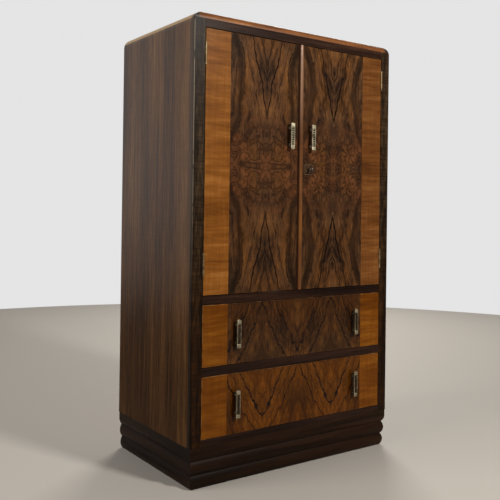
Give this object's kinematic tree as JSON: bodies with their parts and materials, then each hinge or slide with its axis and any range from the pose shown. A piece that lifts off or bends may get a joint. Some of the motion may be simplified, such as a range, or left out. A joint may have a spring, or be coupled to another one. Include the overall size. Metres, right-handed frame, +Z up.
{
  "type": "tallboy",
  "caption": "Tallboy with a pair of flush cupboard doors above drawers, in figured walnut veneer with crossbanded ends, on a stepped plinth, with bar handles and a door lock.",
  "frame": {"origin": "centre of the bounding box on the floor plane", "axes": "+X to the right seen from the front, -Y out of the front, +Z up"},
  "size_m": [0.712, 0.444, 1.25],
  "materials": {
    "side_walnut": "satin polish on straight-grained walnut veneer",
    "top_walnut": "satin polish on walnut",
    "dark_frame": "dark stained and polished",
    "dark_plinth": "dark stained and polished",
    "burr_walnut": "polished figured walnut veneer",
    "crossband_walnut": "polished cross-grained walnut veneer",
    "bead_walnut": "polished walnut",
    "inner_wood": "plain sanded wood",
    "plywood": "plain plywood",
    "handle_brass": "aged pale brass",
    "hinge_brass": "tarnished brass",
    "steel": "dull steel"
  },
  "bodies": {
    "carcass": {"side_left": "side_walnut", "side_right": "side_walnut", "top_board": "top_walnut", "back_panel": "plywood", "carcass_bottom": "inner_wood", "cupboard_floor": "inner_wood", "shelf_lower": "inner_wood", "shelf_upper": "inner_wood", "stile_left": "dark_frame", "stile_right": "dark_frame", "top_rail": "dark_frame", "door_rail": "dark_frame", "drawer_rail": "dark_frame", "bottom_rail": "dark_frame", "guide_left": "inner_wood", "guide_right": "inner_wood", "runner_left": "inner_wood", "runner_right": "inner_wood", "drawer_stops": "inner_wood", "plinth_front": "dark_plinth", "plinth_left": "dark_plinth", "plinth_right": "dark_plinth", "plinth_back": "dark_plinth", "frame_hinge_leaves": "hinge_brass", "hinge_pins": "steel"},
    "left_door": {"left_door": "burr_walnut", "left_door_crossband": "crossband_walnut", "left_door_handle": "handle_brass", "left_door_handle_screws": "steel", "left_door_hinge_leaves": "hinge_brass"},
    "right_door": {"right_door": "burr_walnut", "right_door_crossband": "crossband_walnut", "meeting_bead": "bead_walnut", "right_door_handle": "handle_brass", "right_door_handle_screws": "steel", "right_door_hinge_leaves": "hinge_brass", "escutcheon": "hinge_brass", "lock_case": "steel"},
    "lock_bolt": {"lock_bolt": "steel"},
    "key": {"key": "steel"},
    "upper_drawer": {"upper_drawer_front": "burr_walnut", "upper_drawer_crossband_left": "crossband_walnut", "upper_drawer_crossband_right": "crossband_walnut", "upper_drawer_side_left": "inner_wood", "upper_drawer_side_right": "inner_wood", "upper_drawer_back": "inner_wood", "upper_drawer_bottom": "plywood", "upper_drawer_handle_left": "handle_brass", "upper_drawer_handle_right": "handle_brass", "upper_drawer_handle_screws": "steel"},
    "lower_drawer": {"lower_drawer_front": "burr_walnut", "lower_drawer_crossband_left": "crossband_walnut", "lower_drawer_crossband_right": "crossband_walnut", "lower_drawer_side_left": "inner_wood", "lower_drawer_side_right": "inner_wood", "lower_drawer_back": "inner_wood", "lower_drawer_bottom": "plywood", "lower_drawer_handle_left": "handle_brass", "lower_drawer_handle_right": "handle_brass", "lower_drawer_handle_screws": "steel"}
  },
  "joints": [
    {"name": "left_door_swing", "type": "hinge", "parent": "carcass", "child": "left_door", "pos_m": [-0.322, -0.2025, 0.8635], "axis": [0, 0, -1], "range_deg": [0, 110]},
    {"name": "right_door_swing", "type": "hinge", "parent": "carcass", "child": "right_door", "pos_m": [0.322, -0.2025, 0.8635], "axis": [0, 0, 1], "range_deg": [0, 110]},
    {"name": "upper_drawer_slide", "type": "slide", "parent": "carcass", "child": "upper_drawer", "axis": [0, -1, 0], "range_m": [0, 0.3]},
    {"name": "lower_drawer_slide", "type": "slide", "parent": "carcass", "child": "lower_drawer", "axis": [0, -1, 0], "range_m": [0, 0.3]},
    {"name": "key_turn", "type": "hinge", "parent": "right_door", "child": "key", "pos_m": [0.03, -0.202, 0.8505], "axis": [0, 1, 0], "range_deg": [0, 180]},
    {"name": "bolt_slide", "type": "slide", "parent": "right_door", "child": "lock_bolt", "axis": [-1, 0, 0], "range_m": [0, 0.008]}
  ],
  "couplings": [
    {"joint": "key_turn", "follows": "bolt_slide", "rad_per_m": 392.69}
  ]
}
